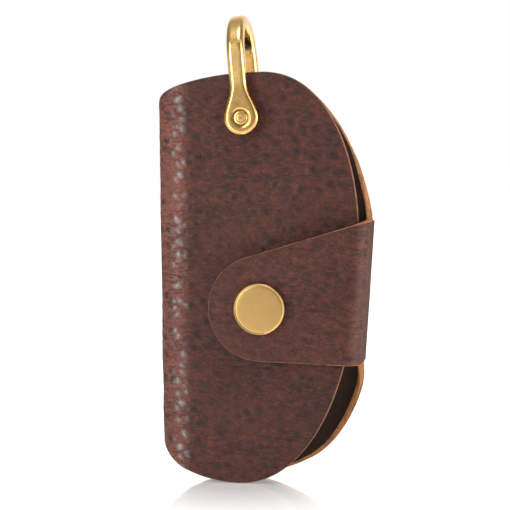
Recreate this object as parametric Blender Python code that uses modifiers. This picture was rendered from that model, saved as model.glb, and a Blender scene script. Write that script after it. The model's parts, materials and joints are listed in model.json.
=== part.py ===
"""Key organiser: folded leather key wrap with a brass shackle and a snap-closed strap.

Metres, +Z up, X to the right, the front of the wrap faces -Y.
"""
import math

import bmesh
import bpy
from mathutils import Vector
from mathutils.geometry import interpolate_bezier

# ---------------------------------------------------------------- driving dimensions
FIT_GAP = 0.0003
LEATHER = 0.0018
EDGE_ROUND = 0.00025

WRAP_HEIGHT = 0.1012
WRAP_WIDTH = 0.0509
CASE_GAP = 0.0084

SNAP_FROM_SPINE = 0.0276
SNAP_HEIGHT = 0.0439
STRAP_GAP = 0.0032
STRAP_END_RADIUS = 0.0129
STRAP_TOP_SLOPE = math.radians(17.0)
STRAP_BOTTOM_SLOPE = math.radians(1.5)
FOLD_CLEARANCE = 0.0005
FOLD_HEIGHT = 0.0476
FOLD_TILT = math.radians(3.4)
FOLD_RADIUS = 0.0040

PIN_FROM_SPINE = 0.0225
PIN_INSET = 0.0112
PIN_RADIUS = 0.00175
PIN_HEAD_RADIUS = 0.0031
PIN_HEAD_HEIGHT = 0.0017
PIN_SLOT_WIDTH = 0.0008
PIN_SLOT_DEPTH = 0.0007

EAR_RADIUS = 0.00436
EAR_THICKNESS = 0.0034
EAR_NECK_HEIGHT = 0.0075
BOW_THICKNESS = 0.0031
BOW_STRETCH = 1.12
SHACKLE_WIDTH = 0.0043
SHACKLE_HEIGHT = 0.0252
SHACKLE_ROUND = 0.0009
SHACKLE_LEAN = math.radians(5.3)
SINK_MARGIN = 0.0007
SINK_DEPTH = 0.00035

CAP_RADIUS = 0.0063
CAP_HEIGHT = 0.0014
CAP_POST_RADIUS = 0.0019
SOCKET_FLANGE_RADIUS = 0.0052
SOCKET_WALL_RADIUS = 0.0042
SOCKET_BORE = 0.0031
SOCKET_PLATE = 0.0006
SPRING_WIRE = 0.0003
STUD_RADIUS = 0.0020
STUD_NECK_RADIUS = 0.0017
STUD_FLANGE_RADIUS = 0.0048
STUD_FLANGE = 0.0004
STUD_WALL = 0.0004
EYELET_RADIUS = 0.0040
EYELET_THICKNESS = 0.0004

# ---------------------------------------------------------------- derived sizes
PIN_Z = WRAP_HEIGHT - PIN_INSET
HANG_HEIGHT = SHACKLE_HEIGHT - BOW_THICKNESS
SPINE_RADIUS = CASE_GAP / 2 + LEATHER
PANEL_Y = CASE_GAP / 2 + LEATHER / 2
STRAP_Y = SPINE_RADIUS + STRAP_GAP + LEATHER / 2
STRAP_FACE_Y = STRAP_Y + LEATHER / 2
HINGE_GAP = LEATHER / 2 + FIT_GAP
EAR_Y = SPINE_RADIUS + FIT_GAP + EAR_THICKNESS / 2
EAR_FACE_Y = EAR_Y + EAR_THICKNESS / 2
PIN_HOLE = PIN_RADIUS + FIT_GAP
SINK_RADIUS = PIN_RADIUS + SINK_MARGIN
CAP_POST_HOLE = CAP_POST_RADIUS + FIT_GAP
STUD_BORE = STUD_NECK_RADIUS - STUD_WALL
EYELET_TUBE = STUD_BORE - FIT_GAP
EYELET_HOLE = EYELET_TUBE + FIT_GAP

# heights along the snap's axis, measured outward from the front of the wrap
SOCKET_TOP = STRAP_GAP - FIT_GAP
SOCKET_FLOOR = SOCKET_TOP - SOCKET_PLATE
STUD_BASE = FIT_GAP
STUD_FLANGE_TOP = STUD_BASE + STUD_FLANGE
SOCKET_RIM = STUD_FLANGE_TOP + FIT_GAP
STUD_TOP = SOCKET_FLOOR - FIT_GAP
CAP_BASE = STRAP_GAP + LEATHER + FIT_GAP

ROUND_STEPS = 48
SMALL_STEPS = 32
CURVE_STEPS = 12
CLEAR = 0.02


# ---------------------------------------------------------------- helpers
def clear_scene():
    for item in list(bpy.data.objects):
        bpy.data.objects.remove(item, do_unlink=True)


def make_material(name, color, metallic, roughness):
    material = bpy.data.materials.new(name)
    material.use_nodes = True
    shader = material.node_tree.nodes["Principled BSDF"]
    shader.inputs["Base Color"].default_value = (*color, 1.0)
    shader.inputs["Metallic"].default_value = metallic
    shader.inputs["Roughness"].default_value = roughness
    return material


def bezier_outline(stations):
    """Closed outline through stations of (point, handle in, handle out), as offsets."""
    points = []
    for index, (start, _, leave) in enumerate(stations):
        end, arrive, _ = stations[(index + 1) % len(stations)]
        start = Vector((*start, 0.0))
        end = Vector((*end, 0.0))
        leave = start + Vector((*leave, 0.0))
        arrive = end + Vector((*arrive, 0.0))
        run = interpolate_bezier(start, leave, arrive, end, CURVE_STEPS + 1)
        points += [(p.x, p.y) for p in run[:-1]]
    return drop_repeats(points)


def drop_repeats(points):
    kept = []
    for point in points:
        if not kept or math.dist(point, kept[-1]) > FIT_GAP / 2:
            kept.append(point)
    if math.dist(kept[0], kept[-1]) < FIT_GAP / 2:
        kept.pop()
    return kept


def arc(centre, radius, start, end, steps):
    """Points along an arc, angles in radians, both ends kept."""
    points = []
    for index in range(steps + 1):
        angle = start + (end - start) * index / steps
        points.append((centre[0] + radius * math.cos(angle), centre[1] + radius * math.sin(angle)))
    return points


def link(item, collection, material=None):
    collection.objects.link(item)
    if material:
        item.data.materials.append(material)
    return item


def plate(name, outline, thickness, rounding, collection, material=None):
    """Flat plate in its local XY, thickness along local Z, with rounded edges."""
    curve = bpy.data.curves.new(name, "CURVE")
    curve.dimensions = "2D"
    curve.fill_mode = "BOTH"
    curve.extrude = thickness / 2 - rounding
    curve.bevel_depth = rounding
    curve.bevel_resolution = 2 if rounding > EDGE_ROUND else 1
    curve.offset = -rounding
    spline = curve.splines.new("POLY")
    spline.points.add(len(outline) - 1)
    for point, (x, y) in zip(spline.points, outline):
        point.co = (x, y, 0.0, 1.0)
    spline.use_cyclic_u = True
    source = bpy.data.objects.new(name + "_curve", curve)
    bpy.context.scene.collection.objects.link(source)
    mesh = bpy.data.meshes.new_from_object(source)
    bpy.data.objects.remove(source, do_unlink=True)
    mesh.name = name
    body = bmesh.new()
    body.from_mesh(mesh)
    bmesh.ops.remove_doubles(body, verts=body.verts, dist=0.000002)
    bmesh.ops.recalc_face_normals(body, faces=body.faces)
    body.to_mesh(mesh)
    body.free()
    mesh.materials.clear()
    return link(bpy.data.objects.new(name, mesh), collection, material)


def upright(item, x, y, z):
    """Stand a plate up: local X stays X, local Y becomes Z, local Z becomes -Y."""
    item.rotation_euler = (math.pi / 2, 0.0, 0.0)
    item.location = (x, y, z)
    return item


def turned(name, profile, steps, collection, material=None, closed=False):
    """Round piece about local Z from a profile of (radius, height)."""
    mesh = bpy.data.meshes.new(name)
    edges = [(i, i + 1) for i in range(len(profile) - 1)]
    if closed:
        edges.append((len(profile) - 1, 0))
    mesh.from_pydata([(r, 0.0, z) for r, z in profile], edges, [])
    item = link(bpy.data.objects.new(name, mesh), collection, material)
    screw = item.modifiers.new("turn", "SCREW")
    screw.steps = steps
    screw.render_steps = steps
    screw.use_merge_vertices = True
    screw.merge_threshold = 0.000001
    screw.use_smooth_shade = True
    return item


def box(name, size, centre, collection):
    mesh = bpy.data.meshes.new(name)
    body = bmesh.new()
    bmesh.ops.create_cube(body, size=1.0)
    bmesh.ops.scale(body, vec=size, verts=body.verts)
    body.to_mesh(mesh)
    body.free()
    item = link(bpy.data.objects.new(name, mesh), collection)
    item.location = centre
    return item


def cylinder_cutter(name, radius, length, steps=SMALL_STEPS):
    profile = [(0.0, length / 2), (radius, length / 2), (radius, -length / 2), (0.0, -length / 2)]
    return turned(name, profile, steps, CUTTERS)


def boolean(item, other, operation):
    change = item.modifiers.new(operation.lower() + "_" + other.name, "BOOLEAN")
    change.operation = operation
    change.solver = "EXACT"
    change.object = other


def smooth(item):
    for face in item.data.polygons:
        face.use_smooth = True


def axis_empty(name, location, rotation=(0.0, 0.0, 0.0), parent=None):
    """Empty on a joint axis; children keep the world positions they are given."""
    empty = bpy.data.objects.new(name, None)
    PARTS.objects.link(empty)
    empty.empty_display_size = 0.01
    empty.location = location
    empty.rotation_euler = rotation
    if parent:
        ride(empty, parent)
    return empty


def ride(item, parent):
    bpy.context.view_layer.update()
    item.parent = parent
    item.matrix_parent_inverse = parent.matrix_world.inverted()


# ---------------------------------------------------------------- scene and materials
clear_scene()
PARTS = bpy.data.collections.new("key_organiser")
CUTTERS = bpy.data.collections.new("cutters")
bpy.context.scene.collection.children.link(PARTS)
bpy.context.scene.collection.children.link(CUTTERS)

front_leather = make_material("front_leather", (0.16, 0.065, 0.05), 0.0, 0.5)
spine_leather = make_material("spine_leather", (0.19, 0.08, 0.06), 0.0, 0.45)
back_leather = make_material("back_leather", (0.15, 0.06, 0.045), 0.0, 0.5)
fold_leather = make_material("fold_leather", (0.18, 0.07, 0.05), 0.0, 0.5)
strap_leather = make_material("strap_leather", (0.17, 0.068, 0.05), 0.0, 0.45)
cap_brass = make_material("cap_brass", (0.62, 0.43, 0.17), 1.0, 0.3)
cap_post_brass = make_material("cap_post_brass", (0.6, 0.42, 0.17), 1.0, 0.35)
socket_brass = make_material("socket_brass", (0.6, 0.42, 0.18), 1.0, 0.35)
spring_bronze = make_material("spring_bronze", (0.55, 0.36, 0.2), 1.0, 0.35)
stud_brass = make_material("stud_brass", (0.62, 0.44, 0.18), 1.0, 0.3)
eyelet_brass = make_material("eyelet_brass", (0.6, 0.42, 0.18), 1.0, 0.35)
shackle_brass = make_material("shackle_brass", (0.72, 0.5, 0.2), 1.0, 0.22)
pin_brass = make_material("pin_brass", (0.7, 0.49, 0.2), 1.0, 0.25)

# ---------------------------------------------------------------- wrap outlines
SPINE_AND_TOP = [
    ((0.0, 0.119), (0.0, -0.049), (0.0, 0.198)),
    ((0.0, 0.919), (0.0, -0.198), (0.0, 0.028)),
    ((0.088, 0.963), (-0.043, -0.009), (0.122, 0.024)),
    ((0.538, 1.000), (-0.157, 0.0), (0.269, 0.0)),
]
FRONT_STATIONS = SPINE_AND_TOP + [
    ((1.000, 0.593), (0.0, 0.247), (0.0, -0.344)),
    ((0.420, 0.000), (0.348, 0.0), (-0.196, 0.0)),
]
BACK_STATIONS = SPINE_AND_TOP + [
    ((0.965, 0.772), (-0.071, 0.104), (0.029, -0.047)),
    ((1.047, 0.632), (-0.016, 0.032), (0.0, -0.099)),
    ((0.998, 0.277), (0.0, 0.054), (-0.029, -0.079)),
    ((0.680, 0.048), (0.175, 0.030), (-0.059, -0.020)),
    ((0.420, 0.000), (0.059, 0.0), (-0.196, 0.0)),
]


def wrap_outline(stations):
    """Outline from stations given in wrap widths along X and wrap heights along Z."""
    sized = []
    for station in stations:
        sized.append(tuple((x * WRAP_WIDTH, z * WRAP_HEIGHT) for x, z in station))
    return bezier_outline(sized)


front_outline = wrap_outline(FRONT_STATIONS)
back_outline = wrap_outline(BACK_STATIONS)

# ---------------------------------------------------------------- place of the strap's fold
def fold_place(outline):
    """X of the fold's outer face at FOLD_HEIGHT, clear of the front panel's edge inside it."""
    reach = 0.0
    for x, z in outline:
        if abs(z - SNAP_HEIGHT) < 2 * STRAP_END_RADIUS:
            reach = max(reach, x - (z - FOLD_HEIGHT) * math.tan(FOLD_TILT))
    return reach + FOLD_CLEARANCE + LEATHER / math.cos(FOLD_TILT)


FOLD_X = fold_place(front_outline)

# ---------------------------------------------------------------- joint axes
fold_axis_x = FOLD_X - FOLD_RADIUS
fold_rotation = (0.0, FOLD_TILT, 0.0)
case_axis = axis_empty("case_axis", (PIN_FROM_SPINE, 0.0, PIN_Z))
fold_axis = axis_empty("fold_axis", (fold_axis_x, PANEL_Y, FOLD_HEIGHT), fold_rotation, case_axis)
strap_axis = axis_empty("strap_axis", (fold_axis_x, -STRAP_Y, FOLD_HEIGHT), fold_rotation, fold_axis)
shackle_axis = axis_empty("shackle_axis", (PIN_FROM_SPINE, 0.0, PIN_Z))

# ---------------------------------------------------------------- holes shared by the leather
pin_hole = cylinder_cutter("pin_hole", PIN_HOLE, CLEAR * 2)
upright(pin_hole, PIN_FROM_SPINE, 0.0, PIN_Z)
eyelet_hole = cylinder_cutter("eyelet_hole", EYELET_HOLE, LEATHER * 3)
upright(eyelet_hole, SNAP_FROM_SPINE, -PANEL_Y, SNAP_HEIGHT)
cap_post_hole = cylinder_cutter("cap_post_hole", CAP_POST_HOLE, LEATHER * 3)
upright(cap_post_hole, SNAP_FROM_SPINE, -STRAP_Y, SNAP_HEIGHT)

# ---------------------------------------------------------------- front panel
front_panel = plate("front_panel", front_outline, LEATHER, EDGE_ROUND, PARTS, front_leather)
upright(front_panel, 0.0, -PANEL_Y, 0.0)
spine_side = box("spine_side", (CLEAR, CLEAR * 2, WRAP_HEIGHT * 2),
                 (SPINE_RADIUS + FIT_GAP / 2 - CLEAR / 2, 0.0, WRAP_HEIGHT / 2), CUTTERS)
boolean(front_panel, spine_side, "DIFFERENCE")
boolean(front_panel, pin_hole, "DIFFERENCE")
boolean(front_panel, eyelet_hole, "DIFFERENCE")

# ---------------------------------------------------------------- spine, a half tube cut to the outline
spine_angle = math.pi / 2
spine_section = arc((SPINE_RADIUS, 0.0), SPINE_RADIUS, spine_angle, 3 * spine_angle, 2 * CURVE_STEPS)
spine_section += arc((SPINE_RADIUS, 0.0), CASE_GAP / 2, 3 * spine_angle, spine_angle, 2 * CURVE_STEPS)
spine_fold = plate("spine_fold", spine_section, WRAP_HEIGHT * 1.2, 0.0, PARTS, spine_leather)
spine_fold.location = (-FIT_GAP / 2, 0.0, WRAP_HEIGHT / 2)
spine_prism = plate("spine_prism", front_outline, CLEAR, 0.0, CUTTERS)
upright(spine_prism, -FIT_GAP / 2, 0.0, 0.0)
boolean(spine_fold, spine_prism, "INTERSECT")

# ---------------------------------------------------------------- strap outline and side fold
top_normal = math.pi / 2 + STRAP_TOP_SLOPE
bottom_normal = 3 * math.pi / 2 - STRAP_BOTTOM_SLOPE
strap_outline = arc((0.0, 0.0), STRAP_END_RADIUS, top_normal, bottom_normal, 2 * CURVE_STEPS)
reach = WRAP_WIDTH
bottom_start = strap_outline[-1]
top_start = strap_outline[0]
strap_outline.append((bottom_start[0] + reach, bottom_start[1] - reach * math.tan(STRAP_BOTTOM_SLOPE)))
strap_outline.append((top_start[0] + reach, top_start[1] + reach * math.tan(STRAP_TOP_SLOPE)))

closure_strap = plate("closure_strap", strap_outline, LEATHER, EDGE_ROUND, PARTS, strap_leather)
upright(closure_strap, SNAP_FROM_SPINE, -STRAP_Y, SNAP_HEIGHT)
fold_side = box("fold_side", (CLEAR * 2, CLEAR, WRAP_HEIGHT), (0.0, 0.0, 0.0), CUTTERS)
fold_side.location = (fold_axis_x + CLEAR, -STRAP_Y, FOLD_HEIGHT)
fold_side.rotation_euler = fold_rotation
boolean(closure_strap, fold_side, "DIFFERENCE")
boolean(closure_strap, cap_post_hole, "DIFFERENCE")
ride(closure_strap, strap_axis)

back_corner = (0.0, SPINE_RADIUS - FOLD_RADIUS)
front_corner = (0.0, FOLD_RADIUS - STRAP_FACE_Y)
inner_radius = FOLD_RADIUS - LEATHER
outer_sweep = math.acos(HINGE_GAP / FOLD_RADIUS)
inner_sweep = math.acos(HINGE_GAP / inner_radius)
fold_section = arc(back_corner, FOLD_RADIUS, outer_sweep, 0.0, CURVE_STEPS)
fold_section += arc(front_corner, FOLD_RADIUS, 0.0, -outer_sweep, CURVE_STEPS)
fold_section += arc(front_corner, inner_radius, -inner_sweep, 0.0, CURVE_STEPS)
fold_section += arc(back_corner, inner_radius, 0.0, inner_sweep, CURVE_STEPS)
strap_fold = plate("strap_fold", fold_section, WRAP_HEIGHT, 0.0, PARTS, fold_leather)
strap_fold.location = (fold_axis_x, 0.0, FOLD_HEIGHT)
strap_fold.rotation_euler = fold_rotation
strap_prism = plate("strap_prism", strap_outline, CLEAR * 2, 0.0, CUTTERS)
upright(strap_prism, SNAP_FROM_SPINE, 0.0, SNAP_HEIGHT)
boolean(strap_fold, strap_prism, "INTERSECT")
ride(strap_fold, fold_axis)

# ---------------------------------------------------------------- back panel, notched for the fold
back_panel = plate("back_panel", back_outline, LEATHER, EDGE_ROUND, PARTS, back_leather)
upright(back_panel, 0.0, PANEL_Y, 0.0)
notch_low = SNAP_HEIGHT - STRAP_END_RADIUS - reach * 0.5 * math.tan(STRAP_BOTTOM_SLOPE) - FIT_GAP * 2
notch_high = SNAP_HEIGHT + STRAP_END_RADIUS / math.cos(STRAP_TOP_SLOPE)
notch_high += (FOLD_X - SNAP_FROM_SPINE) * math.tan(STRAP_TOP_SLOPE) + FIT_GAP * 2
fold_notch = box("fold_notch", (CLEAR, CLEAR, notch_high - notch_low), (0.0, 0.0, 0.0), CUTTERS)
fold_notch.location = (fold_axis_x + CLEAR / 2, PANEL_Y, (notch_high + notch_low) / 2)
fold_notch.rotation_euler = fold_rotation
boolean(back_panel, spine_side, "DIFFERENCE")
boolean(back_panel, pin_hole, "DIFFERENCE")
boolean(back_panel, fold_notch, "DIFFERENCE")

# ---------------------------------------------------------------- snap, outward from the front face
def on_snap_axis(item, parent):
    upright(item, SNAP_FROM_SPINE, -SPINE_RADIUS, SNAP_HEIGHT)
    ride(item, parent)
    return item


cap_top = CAP_BASE + CAP_HEIGHT
cap_profile = [
    (0.0, cap_top),
    (CAP_RADIUS * 0.60, cap_top - CAP_HEIGHT * 0.03),
    (CAP_RADIUS * 0.86, cap_top - CAP_HEIGHT * 0.10),
    (CAP_RADIUS * 0.95, cap_top - CAP_HEIGHT * 0.28),
    (CAP_RADIUS, cap_top - CAP_HEIGHT * 0.58),
    (CAP_RADIUS * 0.98, CAP_BASE + CAP_HEIGHT * 0.12),
    (CAP_RADIUS * 0.94, CAP_BASE),
    (0.0, CAP_BASE),
]
snap_cap = turned("snap_cap", cap_profile, ROUND_STEPS, PARTS, cap_brass)
on_snap_axis(snap_cap, strap_axis)

post_top = CAP_BASE - FIT_GAP
cap_post_profile = [
    (0.0, post_top),
    (CAP_POST_RADIUS, post_top),
    (CAP_POST_RADIUS, SOCKET_FLOOR),
    (0.0, SOCKET_FLOOR),
]
snap_cap_post = turned("snap_cap_post", cap_post_profile, SMALL_STEPS, PARTS, cap_post_brass)
on_snap_axis(snap_cap_post, strap_axis)

socket_profile = [
    (CAP_POST_HOLE, SOCKET_TOP),
    (SOCKET_FLANGE_RADIUS, SOCKET_TOP),
    (SOCKET_FLANGE_RADIUS, SOCKET_FLOOR),
    (SOCKET_WALL_RADIUS, SOCKET_FLOOR),
    (SOCKET_WALL_RADIUS * 0.97, SOCKET_RIM),
    (SOCKET_BORE, SOCKET_RIM),
    (SOCKET_BORE, SOCKET_FLOOR),
    (CAP_POST_HOLE, SOCKET_FLOOR),
]
snap_socket = turned("snap_socket", socket_profile, ROUND_STEPS, PARTS, socket_brass, closed=True)
on_snap_axis(snap_socket, strap_axis)

spring_radius = (SOCKET_BORE + STUD_RADIUS) / 2
spring_curve = bpy.data.curves.new("socket_spring_wire", "CURVE")
spring_curve.dimensions = "3D"
spring_curve.bevel_depth = SPRING_WIRE
spring_curve.bevel_resolution = 1
spring_curve.use_fill_caps = True
spring_path = arc((0.0, 0.0), spring_radius, math.radians(25), math.radians(335), SMALL_STEPS)
spring_spline = spring_curve.splines.new("POLY")
spring_spline.points.add(len(spring_path) - 1)
for spring_point, (px, py) in zip(spring_spline.points, spring_path):
    spring_point.co = (px, py, 0.0, 1.0)
spring_source = bpy.data.objects.new("socket_spring_source", spring_curve)
CUTTERS.objects.link(spring_source)
spring_mesh = bpy.data.meshes.new_from_object(spring_source)
bpy.data.objects.remove(spring_source, do_unlink=True)
spring_body = bmesh.new()
spring_body.from_mesh(spring_mesh)
bmesh.ops.remove_doubles(spring_body, verts=spring_body.verts, dist=0.000002)
bmesh.ops.recalc_face_normals(spring_body, faces=spring_body.faces)
spring_body.to_mesh(spring_mesh)
spring_body.free()
spring_mesh.materials.clear()
socket_spring = link(bpy.data.objects.new("socket_spring", spring_mesh), PARTS, spring_bronze)
smooth(socket_spring)
upright(socket_spring, SNAP_FROM_SPINE, -SPINE_RADIUS - (SOCKET_RIM + SOCKET_FLOOR) / 2, SNAP_HEIGHT)
ride(socket_spring, strap_axis)

knob_low = STUD_FLANGE_TOP + (STUD_TOP - STUD_FLANGE_TOP) * 0.45
stud_profile = [
    (0.0, STUD_TOP),
    (STUD_RADIUS * 0.8, STUD_TOP),
    (STUD_RADIUS, STUD_TOP - STUD_WALL),
    (STUD_RADIUS, knob_low),
    (STUD_NECK_RADIUS, STUD_FLANGE_TOP + STUD_WALL / 2),
    (STUD_NECK_RADIUS, STUD_FLANGE_TOP),
    (STUD_FLANGE_RADIUS, STUD_FLANGE_TOP),
    (STUD_FLANGE_RADIUS, STUD_BASE),
    (STUD_BORE, STUD_BASE),
    (STUD_BORE, STUD_TOP - STUD_WALL),
    (0.0, STUD_TOP - STUD_WALL),
]
snap_stud = turned("snap_stud", stud_profile, ROUND_STEPS, PARTS, stud_brass)
on_snap_axis(snap_stud, case_axis)

eyelet_top = STUD_TOP - STUD_WALL - FIT_GAP
eyelet_seat = -LEATHER - FIT_GAP
eyelet_profile = [
    (0.0, eyelet_top),
    (EYELET_TUBE, eyelet_top),
    (EYELET_TUBE, eyelet_seat),
    (EYELET_RADIUS, eyelet_seat),
    (EYELET_RADIUS, eyelet_seat - EYELET_THICKNESS),
    (0.0, eyelet_seat - EYELET_THICKNESS),
]
stud_post = turned("stud_post", eyelet_profile, SMALL_STEPS, PARTS, eyelet_brass)
on_snap_axis(stud_post, case_axis)

# ---------------------------------------------------------------- shackle: bow, two ears, holes
bow_reach = EAR_Y + BOW_THICKNESS / 2
bow_inner = EAR_Y - BOW_THICKNESS / 2
bow_rise = SHACKLE_HEIGHT - bow_reach * BOW_STRETCH
bow_outline = [(-bow_reach, PIN_HOLE / 2)]
for across, up in arc((0.0, 0.0), 1.0, math.pi, 0.0, 2 * CURVE_STEPS):
    bow_outline.append((across * bow_reach, bow_rise + up * bow_reach * BOW_STRETCH))
bow_outline += [(bow_reach, PIN_HOLE / 2), (bow_inner, PIN_HOLE / 2)]
for across, up in arc((0.0, 0.0), 1.0, 0.0, math.pi, 2 * CURVE_STEPS):
    inner_up = up * (bow_reach * BOW_STRETCH - BOW_THICKNESS)
    bow_outline.append((across * bow_inner, bow_rise + inner_up))
bow_outline.append((-bow_inner, PIN_HOLE / 2))
shackle = plate("shackle", drop_repeats(bow_outline), SHACKLE_WIDTH, SHACKLE_ROUND, PARTS,
                shackle_brass)
shackle.rotation_euler = (math.pi / 2, 0.0, math.pi / 2)
shackle.location = (PIN_FROM_SPINE, 0.0, PIN_Z)

half_neck = SHACKLE_WIDTH / 2
ear_outline = bezier_outline([
    ((0.0, -EAR_RADIUS), (0.0024, 0.0), (-0.0024, 0.0)),
    ((-EAR_RADIUS, 0.0), (0.0, -0.0024), (0.0, 0.0024)),
    ((-half_neck, EAR_NECK_HEIGHT), (0.0, -0.0034), (0.0, 0.0008)),
    ((0.0, EAR_NECK_HEIGHT + 0.0012), (-0.0008, 0.0), (0.0008, 0.0)),
    ((half_neck, EAR_NECK_HEIGHT), (0.0, 0.0008), (0.0, -0.0034)),
    ((EAR_RADIUS, 0.0), (0.0, 0.0024), (0.0, -0.0024)),
])
front_ear = plate("front_ear", ear_outline, EAR_THICKNESS, SHACKLE_ROUND, CUTTERS)
upright(front_ear, PIN_FROM_SPINE, -EAR_Y, PIN_Z)
boolean(shackle, front_ear, "UNION")
back_ear = plate("back_ear", ear_outline, EAR_THICKNESS, SHACKLE_ROUND, CUTTERS)
upright(back_ear, PIN_FROM_SPINE, EAR_Y, PIN_Z)
boolean(shackle, back_ear, "UNION")
ear_hole = cylinder_cutter("ear_hole", PIN_HOLE, CLEAR * 2)
upright(ear_hole, PIN_FROM_SPINE, 0.0, PIN_Z)
boolean(shackle, ear_hole, "DIFFERENCE")
sink = cylinder_cutter("ear_sink", SINK_RADIUS, SINK_DEPTH * 2)
upright(sink, PIN_FROM_SPINE, -EAR_FACE_Y, PIN_Z)
boolean(shackle, sink, "DIFFERENCE")

# ---------------------------------------------------------------- shackle pin
pin_front = EAR_FACE_Y + FIT_GAP / 2
head_seat = -EAR_FACE_Y - FIT_GAP
head_end = head_seat - PIN_HEAD_HEIGHT
pin_profile = [
    (0.0, pin_front),
    (PIN_RADIUS * 0.7, pin_front - PIN_RADIUS * 0.05),
    (PIN_RADIUS, pin_front - PIN_RADIUS * 0.25),
    (PIN_RADIUS, head_seat),
    (PIN_HEAD_RADIUS, head_seat),
    (PIN_HEAD_RADIUS, head_end + PIN_HEAD_HEIGHT * 0.25),
    (PIN_HEAD_RADIUS * 0.88, head_end),
    (0.0, head_end),
]
shackle_pin = turned("shackle_pin", pin_profile, SMALL_STEPS, PARTS, pin_brass)
upright(shackle_pin, PIN_FROM_SPINE, 0.0, PIN_Z)
slot = box("pin_slot", (PIN_HEAD_RADIUS * 3, PIN_SLOT_DEPTH * 2, PIN_SLOT_WIDTH),
           (PIN_FROM_SPINE, -head_end, PIN_Z), CUTTERS)
boolean(shackle_pin, slot, "DIFFERENCE")

# the lean turns the shackle and everything that joins or cuts it about the pin
for leaning in (shackle, shackle_pin, ear_hole, sink, slot, front_ear, back_ear):
    ride(leaning, shackle_axis)
shackle_axis.rotation_euler = (0.0, -SHACKLE_LEAN, 0.0)

for wrap_piece in (front_panel, spine_fold, back_panel):
    ride(wrap_piece, case_axis)

# the origin is where a hook carries the inside of the bow
lean_run = HANG_HEIGHT * math.sin(SHACKLE_LEAN)
lean_rise = HANG_HEIGHT * math.cos(SHACKLE_LEAN)
hang_point = Vector((PIN_FROM_SPINE - lean_run, 0.0, PIN_Z + lean_rise))
for item in list(PARTS.objects) + list(CUTTERS.objects):
    if item.parent is None:
        item.location -= hang_point

for cutter in CUTTERS.objects:
    cutter.hide_render = True
    cutter.display_type = "WIRE"
for part in PARTS.objects:
    if part.type == "MESH" and part.name not in ("shackle", "shackle_pin"):
        smooth(part)
bpy.context.view_layer.update()
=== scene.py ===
"""Looks for the leather key organiser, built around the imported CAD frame."""
import json
import math

import bmesh
import bpy
import numpy as np
from mathutils import Matrix, Vector
from mathutils import noise as mnoise
from mathutils.geometry import interpolate_bezier


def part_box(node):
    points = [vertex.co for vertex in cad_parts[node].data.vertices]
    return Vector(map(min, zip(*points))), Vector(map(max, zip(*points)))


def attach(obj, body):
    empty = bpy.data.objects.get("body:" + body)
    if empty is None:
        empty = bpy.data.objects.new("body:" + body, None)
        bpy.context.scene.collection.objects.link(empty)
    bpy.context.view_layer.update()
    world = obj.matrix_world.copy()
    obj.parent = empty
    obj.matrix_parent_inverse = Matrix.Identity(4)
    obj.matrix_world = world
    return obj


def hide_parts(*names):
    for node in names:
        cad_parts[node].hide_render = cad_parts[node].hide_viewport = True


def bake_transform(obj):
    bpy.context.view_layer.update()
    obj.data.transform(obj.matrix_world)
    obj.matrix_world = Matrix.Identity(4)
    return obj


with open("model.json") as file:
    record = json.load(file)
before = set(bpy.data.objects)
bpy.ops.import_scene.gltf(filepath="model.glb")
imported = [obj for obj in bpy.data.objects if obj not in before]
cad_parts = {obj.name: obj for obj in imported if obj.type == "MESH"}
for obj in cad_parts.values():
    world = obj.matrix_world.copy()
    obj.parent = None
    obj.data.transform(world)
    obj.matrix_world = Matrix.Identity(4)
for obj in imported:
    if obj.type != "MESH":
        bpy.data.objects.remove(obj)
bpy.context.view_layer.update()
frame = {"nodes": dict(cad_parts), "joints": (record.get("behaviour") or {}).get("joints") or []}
JOINTS = {j["name"]: j for j in frame["joints"]}
MM = 0.001

# ---- sizes read from the frame
front_lo, front_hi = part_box("front_panel")
spine_lo, spine_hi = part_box("spine_fold")
strap_lo, strap_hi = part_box("closure_strap")
cap_lo, cap_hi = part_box("snap_cap")
pin_lo, pin_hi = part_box("shackle_pin")
FIT_GAP = 0.0003
LEATHER = front_hi.y - front_lo.y
HALF = LEATHER / 2
LEFT_X = spine_lo.x + FIT_GAP / 2
BASE_Z = front_lo.z
WRAP_WIDTH = front_hi.x - LEFT_X
WRAP_HEIGHT = front_hi.z - front_lo.z
PANEL_Y = -(front_hi.y + front_lo.y) / 2
SPINE_RADIUS = PANEL_Y + HALF
STRAP_FACE_Y = -(strap_hi.y + strap_lo.y) / 2 + HALF
SNAP = Vector(((cap_lo.x + cap_hi.x) / 2, cap_hi.y, (cap_lo.z + cap_hi.z) / 2))
CAP_RADIUS = (cap_hi.x - cap_lo.x) / 2
PIN = Vector(JOINTS["wrap_swing"]["pos_m"])
FOLD = Vector(JOINTS["fold_bend"]["pos_m"])
FOLD_AXIS = Vector(JOINTS["fold_bend"]["axis"]).normalized()
FOLD_TILT = math.atan2(FOLD_AXIS.x, FOLD_AXIS.z)
STRAP_END_RADIUS = SNAP.x - strap_lo.x
STRAP_TOP_SLOPE = math.radians(17.0)
STRAP_BOTTOM_SLOPE = math.radians(1.5)
FOLD_RADIUS = 0.0040
SHACKLE_LEAN = math.atan2(PIN.x, -PIN.z)

# The leather's edges, and the hidden seam that joins the strap's root to the back panel.
EDGE_ROUND = 0.00034
SEAM_ROUND = 0.000004
SEAM_BACK = 0.0015
RIM_STEPS = 5
SIDE_RINGS = 3
GRAIN_OVER_RIM = 3
RING_CROWDING = 0.92
UV_SCALE = 1.0 / MM

# Pebbles of the grain: their length, height and slant, and how proud they stand.
PEBBLE_LONG = 0.0031
PEBBLE_TALL = 0.0022
PEBBLE_SLANT = 0.12
PEBBLE_DRIFT = 0.35
PEBBLE_DRIFT_WAVE = 0.0035
PEBBLE_VALLEY = 0.35
PEBBLE_EDGE = 0.44
PEBBLE_SLOPE = 0.62
PEBBLE_SPINE = 0.00017
PEBBLE_FLAT = 0.00003

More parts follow.
